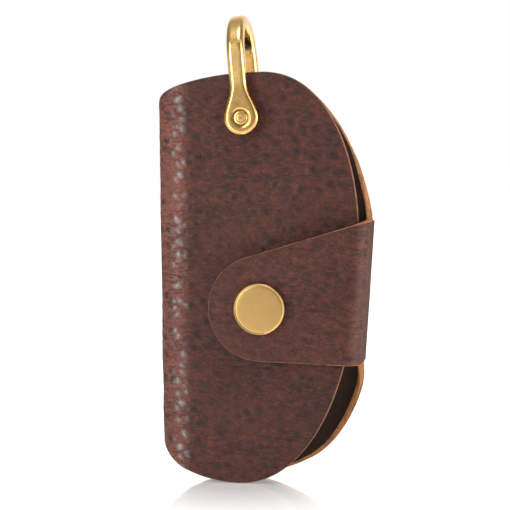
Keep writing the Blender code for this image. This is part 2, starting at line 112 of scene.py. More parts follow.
# Waves of the sheet: wavelengths, heights, and the flat places kept round the pin and the snap.
SLOW_WAVE, SLOW_HEIGHT = 0.022, 0.00016
QUICK_WAVE, QUICK_HEIGHT, QUICK_SPINE = 0.0065, 0.00003, 0.00010
HELD_REACH = 0.010

# Outline stations: place, arriving and leaving handles, as shares of the wrap's width and height.
SPINE_AND_TOP = [
    ((0.0, 0.105), (0.0, -0.055), (0.0, 0.205)),
    ((0.0, 0.919), (0.0, -0.198), (0.0, 0.028)),
    ((0.088, 0.963), (-0.043, -0.009), (0.122, 0.024)),
    ((0.538, 1.000), (-0.157, 0.0), (0.269, 0.0)),
]
FRONT_STATIONS = SPINE_AND_TOP + [
    ((1.000, 0.593), (0.0, 0.247), (0.0, -0.344)),
    ((0.420, 0.000), (0.348, 0.0), (-0.220, 0.0)),
]
BACK_STATIONS = SPINE_AND_TOP[:3] + [
    ((0.520, 0.999), (-0.150, 0.0), (0.190, 0.0)),
    ((0.970, 0.778), (-0.085, 0.118), (0.029, -0.045)),
    ((1.047, 0.632), (-0.016, 0.032), (0.0, -0.099)),
    ((1.006, 0.272), (0.0, 0.054), (-0.029, -0.079)),
    ((0.715, 0.046), (0.165, 0.036), (-0.070, -0.021)),
    ((0.420, 0.000), (0.080, 0.0), (-0.220, 0.0)),
]


# ---- outline helpers
def bezier_outline(stations, steps=40):
    """Closed outline of (x, z) from the wrap's left bottom corner, clockwise seen from the front."""
    size = np.array([WRAP_WIDTH, WRAP_HEIGHT])
    points = []
    for (start, _, leave), (end, arrive, _) in zip(stations, stations[1:] + stations[:1]):
        p0, p3 = np.array(start) * size, np.array(end) * size
        corners = (p0, p0 + np.array(leave) * size, p3 + np.array(arrive) * size, p3)
        run = interpolate_bezier(*[Vector((*corner, 0)) for corner in corners], steps + 1)
        points += [(p.x, p.y) for p in run[:-1]]
    return np.array(points)


def resample(points, count):
    """Evenly spaced points along an open polyline."""
    steps = np.linalg.norm(np.diff(points, axis=0), axis=1)
    along = np.concatenate([[0.0], np.cumsum(steps)])
    want = np.linspace(0.0, along[-1], count)
    return np.column_stack([np.interp(want, along, points[:, k]) for k in range(2)])


def outline_normals(points, seam=None):
    """Outward normals of a closed outline; at a seam's ends they follow the free edge."""
    after, before = np.roll(points, -1, axis=0), np.roll(points, 1, axis=0)
    ahead = after - before
    if seam is not None:
        leaving = ~seam & np.roll(seam, -1)
        arriving = ~seam & np.roll(seam, 1)
        ahead[leaving] = (points - before)[leaving]
        ahead[arriving] = (after - points)[arriving]
    normal = np.column_stack([-ahead[:, 1], ahead[:, 0]])
    if np.sum(points[:, 0] * after[:, 1] - points[:, 1] * after[:, 0]) > 0:
        normal = -normal
    normal /= np.linalg.norm(normal, axis=1)[:, None] + 1e-12
    return normal


def between(start, end, count):
    """Even places strictly between two flat points."""
    return start + (end - start) * np.linspace(0.0, 1.0, count + 2)[1:-1, None]


def with_seam(edge, edge_count, seam_count):
    """Closed outline of an open edge and the straight seam between its ends, and the seam's mask."""
    free = resample(edge, edge_count)
    seam = between(free[-1], free[0], seam_count)
    mask = np.concatenate([np.zeros(len(free), bool), np.ones(len(seam), bool)])
    return np.vstack([free, seam]), mask


def rim_profile(steps):
    """(share outward, share down) of the rounding, from the top face to the side."""
    angles = [math.pi / 2 * k / steps for k in range(steps + 1)]
    return [(math.sin(a), 1 - math.cos(a)) for a in angles]


def ring_quads(a, b, n):
    """Corners of the faces between two rings of n points that start at points a and b."""
    return [(a + i, b + i, b + (i + 1) % n, a + (i + 1) % n) for i in range(n)]


def place_object(name, data):
    item = bpy.data.objects.new(name, data)
    bpy.context.scene.collection.objects.link(item)
    return item


def mesh_from(name, body, material):
    """A mesh and its object from a bmesh, which is freed."""
    mesh = bpy.data.meshes.new(name)
    body.to_mesh(mesh)
    body.free()
    mesh.materials.append(material)
    return place_object(name, mesh)


def smoothstep(t):
    t = np.clip(t, 0.0, 1.0)
    return t * t * (3 - 2 * t)


def value_noise(u, v, scale, seed):
    """Smooth noise of about -1 to 1 at flat places u, v in metres; scale is its wavelength."""
    out = np.empty(len(u))
    for k, (a, b) in enumerate(zip(u, v)):
        out[k] = mnoise.noise(Vector((a / scale + seed * 7.3, b / scale - seed * 3.1, seed)))
    return out


# ---- sheets of leather
GRAIN, CUT_EDGE, FLESH, DARK_EDGE = range(4)
MERGE = 1e-8


def sheet_mesh(name, outline, centre, rings, mapping, materials, place_of, seam, dark_edge, bore=0.0):
    """Closed sheet from a flat outline that its centre can see all of.

    mapping takes flat places and heights and gives points; height runs from the flesh side
    (-HALF) to the grain side (+HALF). place_of gives places on the whole hide. seam and dark_edge
    are masks of the outline's points.
    """
    n = len(outline)
    rounding = np.where(seam, SEAM_ROUND, EDGE_ROUND)
    normal = outline_normals(outline, seam)
    inset = outline - normal * rounding[:, None]
    spread = np.linspace(0.0, 1.0, rings + 1)[1:] ** RING_CROWDING
    flesh_spread = np.linspace(0.0, 1.0, rings // 3 + 1)[1:] ** RING_CROWDING
    heart = centre + (inset - centre) / np.linalg.norm(inset - centre, axis=1)[:, None] * bore
    profile = rim_profile(RIM_STEPS)[1:]
    levels = np.full(n, HALF)
    loop_set = [(heart + (inset - heart) * share, levels) for share in [0.0, *spread]]
    loop_set += [(inset + normal * (rounding * out)[:, None], HALF - rounding * down)
                 for out, down in profile]
    loop_set += [(outline, (HALF - rounding) * share)
                 for share in np.linspace(1.0, -1.0, SIDE_RINGS + 2)[1:-1]]
    loop_set += [(inset + normal * (rounding * out)[:, None], -HALF + rounding * down)
                 for out, down in reversed(profile)]
    loop_set += [(heart + (inset - heart) * share, -levels) for share in [*flesh_spread[::-1], 0.0]]
    flat_all = np.vstack([flat for flat, _ in loop_set])
    points = mapping(*flat_all.T, np.concatenate([level for _, level in loop_set]))
    loops = len(loop_set)
    faces, mats = [], []
    rim_rings = 2 * RIM_STEPS + SIDE_RINGS + 1
    grain_over = rings + RIM_STEPS - GRAIN_OVER_RIM
    for k in range(loops if bore else loops - 1):
        faces += ring_quads(k * n, (k + 1) % loops * n, n)
        in_rim = grain_over <= k < rings + rim_rings or k == loops - 1
        for i in range(n):
            if in_rim:
                mats.append(GRAIN if seam[i] else DARK_EDGE if dark_edge[i] else CUT_EDGE)
            else:
                mats.append(GRAIN if k < grain_over else FLESH)
    mesh = bpy.data.meshes.new(name)
    mesh.from_pydata([tuple(p) for p in points], [], faces)
    mesh.polygons.foreach_set("material_index", mats)
    for material in materials:
        mesh.materials.append(material)
    uv = mesh.uv_layers.new(name="flat")
    places = np.column_stack(place_of(*flat_all.T))
    tops = mesh.attributes.new("pebble", "FLOAT", "POINT")
    tops.data.foreach_set("value", pebble(*places.T).astype(np.float32))
    loop_vertex = np.empty(len(mesh.loops), dtype=np.int64)
    mesh.loops.foreach_get("vertex_index", loop_vertex)
    uv.data.foreach_set("uv", (places * UV_SCALE)[loop_vertex].astype(np.float32).ravel())
    body = bmesh.new()
    body.from_mesh(mesh)
    if not bore:
        bmesh.ops.remove_doubles(body, verts=body.verts, dist=MERGE)
    if body.calc_volume(signed=True) < 0:
        bmesh.ops.reverse_faces(body, faces=body.faces)
    body.to_mesh(mesh)
    body.free()
    return place_object(name, mesh)


def finish_mesh(item, angle):
    """Smooth shading with sharp edges kept where faces meet at more than the angle."""
    for face in item.data.polygons:
        face.use_smooth = True
    item.data.set_sharp_from_angle(angle=math.radians(angle))


# ---- materials
def new_material(name):
    material = bpy.data.materials.new(name)
    material.use_nodes = True
    g = Graph(material.node_tree)
    return material, g, g.tree.nodes["Principled BSDF"]


class Graph:
    """Short names for the node wiring used by every material."""

    def __init__(self, tree):
        self.tree = tree

    def node(self, kind, **settings):
        made = self.tree.nodes.new("ShaderNode" + kind)
        for key, value in settings.items():
            setattr(made, key, value)
        return made

    def link(self, value, socket):
        """Wires or sets one input; a colour of three numbers is opaque."""
        if isinstance(value, bpy.types.NodeSocket):
            self.tree.links.new(value, socket)
        elif socket.type == "RGBA" and len(value) == 3:
            socket.default_value = (*value, 1.0)
        else:
            socket.default_value = value

    def feed(self, node, *values):
        """Wires or sets a node's first inputs."""
        for socket, value in zip(node.inputs, values):
            self.link(value, socket)

    def wire(self, node, **values):
        """Wires or sets inputs by name, where an underscore stands for a space."""
        for key, value in values.items():
            self.link(value, node.inputs[key.replace("_", " ")])

    def at(self, kind, vector, output, **values):
        """One output of a node that reads a vector."""
        made = self.node(kind)
        self.wire(made, Vector=vector, **values)
        return made.outputs[output]

    def uv(self, scale=(1.0, 1.0, 1.0), turn=0.0):
        source = self.node("UVMap", uv_map="flat")
        return self.at("Mapping", source.outputs["UV"], "Vector", Scale=scale,
                       Rotation=(0.0, 0.0, turn))

    def object_space(self, scale):
        source = self.node("TexCoord")
        return self.at("Mapping", source.outputs["Object"], "Vector", Scale=scale)

    def away(self, vector, centre):
        """Distance in the upright plane from a point given in millimetres."""
        level = self.node("VectorMath", operation="MULTIPLY")
        self.feed(level, vector, (1.0, 0.0, 1.0))
        made = self.node("VectorMath", operation="DISTANCE")
        self.feed(made, level.outputs["Vector"], (centre[0], 0.0, centre[1]))
        return made.outputs["Value"]

    def noise(self, vector, scale, detail=3.0, roughness=0.55, distortion=0.0):
        return self.at("TexNoise", vector, "Fac", Scale=scale, Detail=detail,
                       Roughness=roughness, Distortion=distortion)

    def warp(self, vector, amount, scale):
        drift = self.at("TexNoise", vector, "Color", Scale=scale, Detail=2.0)
        shift = self.node("VectorMath", operation="MULTIPLY_ADD")
        self.feed(shift, drift, (amount, amount, 0.0), vector)
        return shift.outputs["Vector"]

    def cell_edges(self, vector, scale):
        made = self.node("TexVoronoi", feature="DISTANCE_TO_EDGE")
        self.wire(made, Vector=vector, Scale=scale)
        return made.outputs["Distance"]

    def greys(self, value, stops):
        made = self.node("ValToRGB")
        band = made.color_ramp
        while len(band.elements) < len(stops):
            band.elements.new(0.5)
        for element, (place, grey) in zip(band.elements, stops):
            element.position = place
            element.color = (grey, grey, grey, 1.0)
        self.link(value, made.inputs["Fac"])
        return made.outputs["Color"]

    def span(self, value, low, high, to_low=0.0, to_high=1.0, soft=False):
        made = self.node("MapRange")
        if soft:
            made.interpolation_type = "SMOOTHERSTEP"
        self.feed(made, value, low, high, to_low, to_high)
        return made.outputs["Result"]

    def mix(self, factor, a, b, blend="MIX"):
        made = self.node("Mix", data_type="RGBA", blend_type=blend)
        for place, value in ((0, factor), (6, a), (7, b)):
            self.link(value, made.inputs[place])
        return made.outputs[2]

    def off(self, value, centre):
        """How far a value is from a centre, either way."""
        return self.math("ABSOLUTE", self.math("SUBTRACT", value, centre), 0.0)

    def blend(self, factor, first, second, surface=None):
        """Mixes two shaders and wires them to the output node, the material's when none is named."""
        made = self.node("MixShader")
        self.feed(made, factor, first, second)
        surface = surface or self.tree.nodes["Material Output"]
        self.link(made.outputs["Shader"], surface.inputs["Surface"])

    def math(self, operation, a, b):
        made = self.node("Math", operation=operation)
        self.feed(made, a, b)
        return made.outputs["Value"]

    def bump(self, height, strength, distance, normal=None):
        made = self.node("Bump")
        self.wire(made, Height=height, Strength=strength, Distance=distance)
        if normal:
            self.wire(made, Normal=normal)
        return made.outputs["Normal"]


# Colours of the hide, with painted shade in its creases and painted light on the spine, and of the
# painted shade round the brass pin, linear red, green and blue.
BROWN = (0.060, 0.022, 0.016)
UMBER = (0.025, 0.018, 0.018)
RUST = (0.128, 0.037, 0.025)
CREASE_SHADE = (0.022, 0.010, 0.009)
WORN_AND_LIT = (0.335, 0.120, 0.088)
DUST = (0.16, 0.070, 0.055)
NAP_DARK = (0.023, 0.012, 0.010)
NAP_PALE = (0.055, 0.028, 0.020)
NAP_STAIN = (0.022, 0.012, 0.010)
WAX = (1.0, 0.93, 0.90)
# Painted shade round the brass pin: its dark tint and its strength.
PIN_SHADE_TINT = (0.40, 0.22, 0.068)
PIN_SHADE_SHARE = 0.66

# Shares of wax gloss face on, at grazing angles, and on the polished line of the spine (mm).
GLOSS_LOW = 0.013
GLOSS_HIGH = 0.050
POLISH = 0.100
POLISH_LINE = 8.0

# Depths of the bumps in the leather and the brass, in metres.
PEBBLE_BUMP, FINE_BUMP, CREASE_BUMP, SPECK_BUMP = 0.00022, 0.00008, 0.00014, 0.00003
FIBRE_BUMP, NAP_BUMP, MARK_BUMP, HAZE_BUMP = 0.00006, 0.00008, 0.00001, 0.00006
PER_MM = (1000.0, 1000.0, 1000.0)


def grain_leather(name, relief, wrinkle, patch, lift=1.0, fold_line=None):
    """Waxed pebble-grain leather, with its pattern in millimetres.

    relief and wrinkle are bump strengths, patch the share of dark tops, lift the brightness, and
    fold_line a lighter line along the strap's corner: rubbed wear, with painted light over the bend's
    shade.
    """
    material, g, shader = new_material(name)
    flat = g.uv()
    soft = g.warp(flat, 0.55, 0.9)
    pebbles = g.node("Attribute", attribute_name="pebble").outputs["Fac"]
    fine_cells = g.cell_edges(g.warp(g.uv((0.75, 1.0, 1.0), 0.2), 0.35, 2.0), 1.25)
    fine = g.span(fine_cells, 0.0, 0.34, soft=True)
    lines = g.noise(g.warp(g.uv((0.17, 0.62, 1.0), 0.22), 0.55, 0.7), 1.0, 3.0, 0.55, 0.5)
    ridge = g.span(g.off(lines, 0.5), 0.0, 0.045)
    creased = g.span(g.noise(g.uv((0.045, 0.075, 1.0)), 1.0, 2.0, 0.5), 0.34, 0.52, 0.15, 1.0)
    creases = g.math("SUBTRACT", 1.0, g.math("MULTIPLY", g.math("SUBTRACT", 1.0, ridge), creased))
    mottle = g.noise(soft, 0.55, 5.0, 0.70)
    broad = g.noise(flat, 0.055, 3.0, 0.5)
    blotch = g.noise(soft, 0.34, 4.0, 0.62, 0.3)
    speck = g.noise(flat, 3.0, 3.0, 0.65)

    patchy = g.math("MULTIPLY", g.span(pebbles, 0.05, 0.95), g.span(blotch, 0.38, 0.50))
    colour = g.mix(g.span(mottle, 0.34, 0.64), BROWN, RUST)
    run = g.at("SeparateXYZ", flat, "X")
    from_spine = g.math("ABSOLUTE", run, 0.0)
    # Painted light: the spine's bend is made lighter and redder to stand for its bright lighting,
    # partly worn leather.
    colour = g.mix(g.span(from_spine, 7.0, 12.0, 0.55, 0.0, soft=True), colour, WORN_AND_LIT)
    if fold_line is not None:
        # Painted light: a lighter line along the strap's front corner lifts the shade of the bend,
        # partly rubbed wear.
        rubbed_and_lit = g.span(g.off(run, fold_line), 0.6, 4.0, 0.17, 0.0, soft=True)
        colour = g.mix(rubbed_and_lit, colour, WORN_AND_LIT)
    colour = g.mix(g.math("MULTIPLY", patchy, patch), colour, UMBER)
    # Painted shade: dark colour in the fine cell valleys, the crease lines and the pits, where shade
    # falls.
    colour = g.mix(g.span(fine, 0.0, 0.8, 0.32, 0.0), colour, CREASE_SHADE)
    colour = g.mix(g.span(creases, 0.0, 1.0, 0.70, 0.0), colour, CREASE_SHADE)
    colour = g.mix(g.span(speck, 0.50, 0.75, 0.0, 0.14), colour, DUST)
    colour = g.mix(g.span(speck, 0.30, 0.46, 0.25, 0.0), colour, CREASE_SHADE)
    shade = g.span(broad, 0.3, 0.7, 0.66 * lift, 0.86 * lift)
    value = g.node("HueSaturation")
    g.wire(value, Value=shade, Color=colour)

    rough = g.math("ADD", g.span(mottle, 0.3, 0.7, 0.27, 0.38), g.span(pebbles, 0.0, 1.0, 0.18, 0.0))
    g.wire(shader, Base_Color=value.outputs["Color"], Specular_IOR_Level=0.0, Roughness=0.8)
    wax = g.node("BsdfGlossy")
    g.wire(wax, Color=WAX, Roughness=rough)
    facing = g.node("LayerWeight")
    g.wire(facing, Blend=0.35)
    polish = g.math("MULTIPLY", g.span(g.off(from_spine, POLISH_LINE), 0.9, 2.6, POLISH, 0.0),
                    g.span(pebbles, 0.10, 0.90))
    gloss = g.math("ADD", g.span(facing.outputs["Facing"], 0.0, 0.9, GLOSS_LOW, GLOSS_HIGH), polish)
    g.blend(gloss, shader.outputs["BSDF"], wax.outputs["BSDF"])

    normal = g.bump(pebbles, relief, PEBBLE_BUMP)
    normal = g.bump(fine, relief * 0.7, FINE_BUMP, normal)
    normal = g.bump(creases, wrinkle, CREASE_BUMP, normal)
    normal = g.bump(speck, 0.35, SPECK_BUMP, normal)
    for target in (shader, wax, facing):
        g.wire(target, Normal=normal)
    return material


def edge_leather(name, core, fleck, stain):
    """Cut edge: a fibre core with paler flecks and patches of darker stain."""
    material, g, shader = new_material(name)
    flat = g.object_space(PER_MM)
    fibre = g.noise(flat, 2.4, 5.0, 0.7)
    patch = g.noise(flat, 0.35, 3.0, 0.6)
    colour = g.mix(g.span(fibre, 0.3, 0.7), core, fleck)
    colour = g.mix(g.span(patch, 0.45, 0.7, 0.0, 0.65), colour, stain)
    g.wire(shader, Base_Color=colour, Roughness=0.70, Specular_IOR_Level=0.15,
           Normal=g.bump(fibre, 0.5, FIBRE_BUMP))
    return material


def flesh_leather(name):
    """The dark, slightly napped inside of the leather."""
    material, g, shader = new_material(name)
    flat = g.uv()
    nap = g.noise(g.warp(flat, 0.5, 1.5), 2.0, 5.0, 0.75)
    patch = g.noise(flat, 0.12, 3.0, 0.5)
    colour = g.mix(g.span(nap, 0.3, 0.7), NAP_DARK, NAP_PALE)
    colour = g.mix(g.span(patch, 0.4, 0.7, 0.0, 0.4), colour, NAP_STAIN)
    g.wire(shader, Base_Color=colour, Roughness=0.85, Specular_IOR_Level=0.2,
           Normal=g.bump(nap, 0.6, NAP_BUMP))
    return material


def brass(name, base, tarnish, rough_low, rough_high, scratch=(1.0, 1.0, 6.0), worn=0.5,
          pin_shade=None):
    """Polished brass with faint scratches, handling haze and patches of tarnish.

    pin_shade is a place in millimetres, how far the painted shade round it reaches, and the radius of
    a painted dark ring of shade about it.
    """
    material, g, shader = new_material(name)
    place = g.object_space(PER_MM)
    along = g.object_space(tuple(a * b for a, b in zip(PER_MM, scratch)))
    haze = g.noise(place, 0.30, 4.0, 0.6)
    marks = g.noise(along, 1.6, 4.0, 0.75)
    pits = g.noise(place, 3.0, 3.0, 0.6)
    colour = g.mix(g.span(haze, 0.42, 0.75, 0.0, worn), base, tarnish)
    colour = g.mix(g.span(pits, 0.62, 0.80, 0.0, 0.5), colour, tuple(c * 0.55 for c in tarnish))
    if pin_shade is not None:
        # Painted shade: a darker film round the pin and a dark ring about it stand in for the shade
        # and dark reflection there.
        centre, reach, ring = pin_shade
        away = g.away(place, centre)
        film = g.span(away, reach * 0.45, reach, PIN_SHADE_SHARE, 0.0, soft=True)
        colour = g.mix(film, colour, PIN_SHADE_TINT)
        line = g.span(g.off(away, ring), 0.05, 0.22, 0.75, 0.0)
        colour = g.mix(line, colour, tuple(c * 0.5 for c in PIN_SHADE_TINT))
    rough = g.math("ADD", g.span(haze, 0.3, 0.7, rough_low, rough_high),
                   g.span(marks, 0.4, 0.7, 0.0, 0.07))
    normal = g.bump(haze, 0.15, HAZE_BUMP, g.bump(marks, 0.05, MARK_BUMP))
    g.wire(shader, Base_Color=colour, Metallic=1.0, Roughness=rough, Normal=normal)
    return material


wrap_grain = grain_leather("wrap_grain", 0.50, 0.50, 0.88)
cut_edge = edge_leather("cut_edge", (0.24, 0.090, 0.030), (0.46, 0.22, 0.085),
                        (0.090, 0.038, 0.018))
dark_edge = edge_leather("dark_edge", (0.100, 0.038, 0.020), (0.34, 0.15, 0.070),
                         (0.040, 0.018, 0.013))
flesh = flesh_leather("flesh_side")
pin_place = (PIN.x / MM, PIN.z / MM)
# Painted shade darkens the shackle's ear round the pin and rings the pin's turned end.
shackle_brass = brass("solid_brass", (0.86, 0.56, 0.215), (0.60, 0.35, 0.11), 0.17, 0.27, worn=0.6,
                      pin_shade=(pin_place, 11.0, 2.05))
cap_brass = brass("cap_brass", (0.42, 0.265, 0.096), (0.32, 0.19, 0.065), 0.26, 0.36,
                  (5.0, 1.0, 0.8))
pin_brass = brass("pin_brass", (0.70, 0.44, 0.165), (0.50, 0.29, 0.09), 0.22, 0.32, worn=0.8,
                  pin_shade=(pin_place, 0.5, 1.15))
inner_brass = brass("inner_brass", (0.72, 0.52, 0.26), (0.45, 0.30, 0.14), 0.26, 0.38, worn=0.7)
spring_bronze = brass("spring_wire", (0.60, 0.42, 0.26), (0.34, 0.22, 0.14), 0.28, 0.40, worn=0.7)
LEATHER_SET = [wrap_grain, cut_edge, flesh, dark_edge]

# ---- the wrap: front, spine, back
MID_RADIUS = PANEL_Y
BEND = MID_RADIUS * math.pi / 2
front_outline = bezier_outline(FRONT_STATIONS)
back_outline = bezier_outline(BACK_STATIONS)


def to_flat(outline, side):
    """Flat pattern of one half: s is the run along the leather from the middle of the spine."""
    x, z = outline.T
    turned = MID_RADIUS * np.arccos(np.clip((SPINE_RADIUS - x) / SPINE_RADIUS, -1.0, 1.0))
    s = np.where(x < SPINE_RADIUS, turned, BEND + x - SPINE_RADIUS)
    return np.column_stack([side * s, z])


def warp_height(s, z):
    """Slow waviness of the sheet, stronger along the spine, none where the snap and pin sit."""
    slow = value_noise(s, z, SLOW_WAVE, 1.0)
    quick = value_noise(s, z, QUICK_WAVE, 2.0)
    spine = np.exp(-(s / (BEND * 0.9)) ** 2)
    hold = np.ones(len(s))
    for held in (PIN, SNAP):
        near = np.hypot(np.abs(s) - (BEND + (held.x - LEFT_X) - SPINE_RADIUS), z - (held.z - BASE_Z))
        hold *= smoothstep((near - HELD_REACH * 0.5) / HELD_REACH)
    return (SLOW_HEIGHT * slow + (QUICK_HEIGHT + QUICK_SPINE * spine) * quick) * hold


def pebble(s, z):
    """Height share of the hide's pebbles, 0 in the valleys and 1 on the tops."""
    out = np.empty(len(s))
    shift_s = PEBBLE_DRIFT * PEBBLE_TALL * value_noise(s, z, PEBBLE_DRIFT_WAVE, 5.0)
    shift_z = PEBBLE_DRIFT * PEBBLE_TALL * value_noise(s, z, PEBBLE_DRIFT_WAVE, 6.0)
    for k, (a, b) in enumerate(zip(s + shift_s, z + shift_z)):
        near = mnoise.voronoi(Vector((a / PEBBLE_LONG, (b - PEBBLE_SLANT * a) / PEBBLE_TALL, 3.0)))[0]
        out[k] = near[0] - PEBBLE_VALLEY * near[1]
    return smoothstep((PEBBLE_EDGE - out) / PEBBLE_SLOPE)


def pebble_height(s, z):
    """Raised pebbles, proud where the leather is stretched round the spine."""
    spine = np.exp(-((np.abs(s) - BEND * 0.85) / (BEND * 0.55)) ** 2)
    return pebble(s, z) * (PEBBLE_FLAT + (PEBBLE_SPINE - PEBBLE_FLAT) * spine)


FOLD_S = BEND + (FOLD.x - LEFT_X) - SPINE_RADIUS
FOLD_Z = FOLD.z - BASE_Z
COS_T, SIN_T = math.cos(FOLD_TILT), math.sin(FOLD_TILT)


def to_fold(s, z):
    """(run across the fold line, place along it) of flat places on the back."""
    ds, dz = s - FOLD_S, z - FOLD_Z
    return ds * COS_T - dz * SIN_T, ds * SIN_T + dz * COS_T


def from_fold(across, along):
    """Flat places on the back from their places at the fold line."""
    return (FOLD_S + across * COS_T + along * SIN_T, FOLD_Z - across * SIN_T + along * COS_T)


ARC_MID = FOLD_RADIUS - HALF
ARC_RUN = ARC_MID * math.pi / 2
STRAIGHT = (PANEL_Y + HALF - FOLD_RADIUS) + (STRAP_FACE_Y - FOLD_RADIUS)
MID_FOLD = ARC_RUN + STRAIGHT / 2
FLAP_START = 2 * ARC_RUN + STRAIGHT
FRONT_CORNER = (FOLD_S + FLAP_START - ARC_RUN * 0.8) / MM
strap_grain = grain_leather("strap_grain", 0.25, 0.35, 0.60, 1.05, FRONT_CORNER)
STRAP_SET = [strap_grain, cut_edge, flesh, dark_edge]
SPREAD_ABOVE = 0.016
SPREAD_BELOW = 0.010


def strap_path(run):
    """(across, depth towards the front) of the strap's middle at a run past the fold line."""
    first = np.clip(run, 0.0, ARC_RUN) / ARC_MID
    second = np.clip(run - ARC_RUN - STRAIGHT, 0.0, ARC_RUN) / ARC_MID
    straight = np.clip(run - ARC_RUN, 0.0, STRAIGHT)
    across = np.minimum(run, 0.0) + ARC_MID * np.sin(first) - ARC_MID * (1.0 - np.cos(second))
    across = across - np.maximum(run - FLAP_START, 0.0)
    depth = ARC_MID * (1.0 - np.cos(first)) + straight + ARC_MID * np.sin(second)
    return across, depth


def edge_along(run, top):
    """Place along the fold line of the strap's top or bottom edge, at runs round the fold."""
    angle, side = (STRAP_TOP_SLOPE, 1.0) if top else (-STRAP_BOTTOM_SLOPE, -1.0)
    x0 = SNAP.x - side * STRAP_END_RADIUS * math.sin(angle)
    z0 = SNAP.z + side * STRAP_END_RADIUS * math.cos(angle)
    slope = math.tan(angle)
    return ((z0 - FOLD.z + slope * (FOLD.x - x0)) + strap_path(run)[0] * (
        SIN_T + slope * COS_T)) / (COS_T - slope * SIN_T)


def edge_points(start, end, count):
    """Flat places of the strap's top and bottom edges from one run to another."""
    runs = np.linspace(start, end, count)
    return [np.column_stack([runs, edge_along(runs, top)]) for top in (True, False)]


ARC_RUNS = np.linspace(0.0, ARC_RUN, 30)
HIGH = float(np.max(edge_along(ARC_RUNS, True))) + EDGE_ROUND
LOW = float(np.min(edge_along(ARC_RUNS, False))) - EDGE_ROUND


def bend_share(along):
    """How much of the fold's bend the leather keeps beyond the strap's edges."""
    return 1.0 - smoothstep(np.maximum((along - HIGH) / SPREAD_ABOVE, (LOW - along) / SPREAD_BELOW))


right_half = back_outline[back_outline[:, 0] > WRAP_WIDTH * 0.5]
back_margin = to_flat(resample(right_half, 120), 1.0)
back_margin[:, 0] += SPINE_RADIUS - BEND
SPINE_TAPER = 0.0011
TAPER_REACH = 0.030
CURL_WIDTH = 0.0042
CURL_RISE = 0.88
# Where the curl fades, as shares of the wrap's height (end, width of the fade) and of its width.
CURL_MIDDLE = 0.55
CURL_TOP = (0.84, 0.18)
CURL_FOOT = (0.10, 0.36)
CURL_INWARD = (0.50, 0.20)


def curl_depth(s, z):
    """How far the back panel's free margin curls towards the front, nothing near the spine."""
    x = s - BEND + SPINE_RADIUS
    level = z / WRAP_HEIGHT
    weight = np.where(level > CURL_MIDDLE, smoothstep((CURL_TOP[0] - level) / CURL_TOP[1]),
                      smoothstep((level + CURL_FOOT[0]) / CURL_FOOT[1]))
    weight = weight * smoothstep((x / WRAP_WIDTH - CURL_INWARD[0]) / CURL_INWARD[1])
    depth = np.zeros(len(s))
    active = weight > 0.0
    if not np.any(active):
        return depth
    places = np.column_stack([x[active], z[active]])
    gap = np.full(len(places), 1.0)
    for start, end in zip(back_margin[:-1], back_margin[1:]):
        run = end - start
        t = np.clip(((places - start) @ run) / (run @ run), 0.0, 1.0)
        gap = np.minimum(gap, np.linalg.norm(places - start - t[:, None] * run, axis=1))
    near = np.clip(1.0 - gap / CURL_WIDTH, 0.0, 1.0) * CURL_RISE
    depth[active] = weight[active] * CURL_WIDTH * (1.0 - np.sqrt(1.0 - near ** 2))
    return depth * (1.0 - bend_share(to_fold(s, z)[1]))


SLOPE_STEP = 0.00004


def off_middle(middle, u, v, h):
    """Points at height h off a middle surface given by two flat directions."""
    along_u = middle(u + SLOPE_STEP, v) - middle(u - SLOPE_STEP, v)
    along_v = middle(u, v + SLOPE_STEP) - middle(u, v - SLOPE_STEP)
    normal = np.cross(along_v, along_u)
    normal /= np.linalg.norm(normal, axis=1)[:, None] + 1e-15
    return middle(u, v) + normal * h[:, None]


# The spine's bend eases into the flat panels: its angle and places by the run from its middle.
BEND_POWER = 1.5
BEND_STEPS = 800
bend_shares = np.linspace(0.0, 1.0, BEND_STEPS + 1)
bend_angle = math.pi / 2 * (1.0 - (1.0 - bend_shares) ** BEND_POWER)
BEND_REACH = MID_RADIUS / float(np.trapz(np.cos(bend_angle), bend_shares))
bend_run = bend_shares * BEND_REACH


def summed(slopes):
    """Distance travelled by each step of the bend along one direction."""
    return np.concatenate([[0.0], np.cumsum((slopes[1:] + slopes[:-1]) / 2)]) * (
        BEND_REACH / BEND_STEPS)


bend_y, bend_x = summed(np.cos(bend_angle)), summed(np.sin(bend_angle))
excess = bend_x[-1] - (MID_RADIUS + BEND_REACH - BEND)
bend_x = bend_x - excess * smoothstep(bend_shares)


def wrap_middle(s, z):
    """Middle surface of the folded wrap at flat places."""
    run = np.abs(s)
    beyond = np.maximum(run - BEND_REACH, 0.0)
    x = LEFT_X + HALF + np.interp(run, bend_run, bend_x) + beyond
    y = np.sign(s) * np.interp(run, bend_run, bend_y) - curl_depth(s, z)
    taper = SPINE_TAPER * (1.0 - z / WRAP_HEIGHT) * (1.0 - smoothstep(np.abs(s) / TAPER_REACH))
    return np.column_stack([x + taper, y, BASE_Z + z])


def wrap_map(s, z, h):
    grain = np.where(h > 0.0, pebble_height(s, z), 0.0)
    return off_middle(wrap_middle, s, z, h + warp_height(s, z) + grain)


def seam_places(flat):
    """Places along the fold line where the back outline crosses the hidden seam, top first."""
    across, along = to_fold(*flat.T)
    past = across > -SEAM_BACK
    found = []
    for k in np.nonzero(past != np.roll(past, -1))[0]:
        j = (k + 1) % len(flat)
        t = (-SEAM_BACK - across[k]) / (across[j] - across[k])
        found.append(along[k] + (along[j] - along[k]) * t)
    return max(found), min(found)


def open_run(flat, outline):
    """A half's outline away from the middle of the spine, starting after its widest gap."""
    run = flat[outline[:, 0] > 1e-6]
    widest = int(np.argmax(np.hypot(*(np.roll(run, -1, axis=0) - run).T)))
    return np.roll(run, -widest - 1, axis=0)


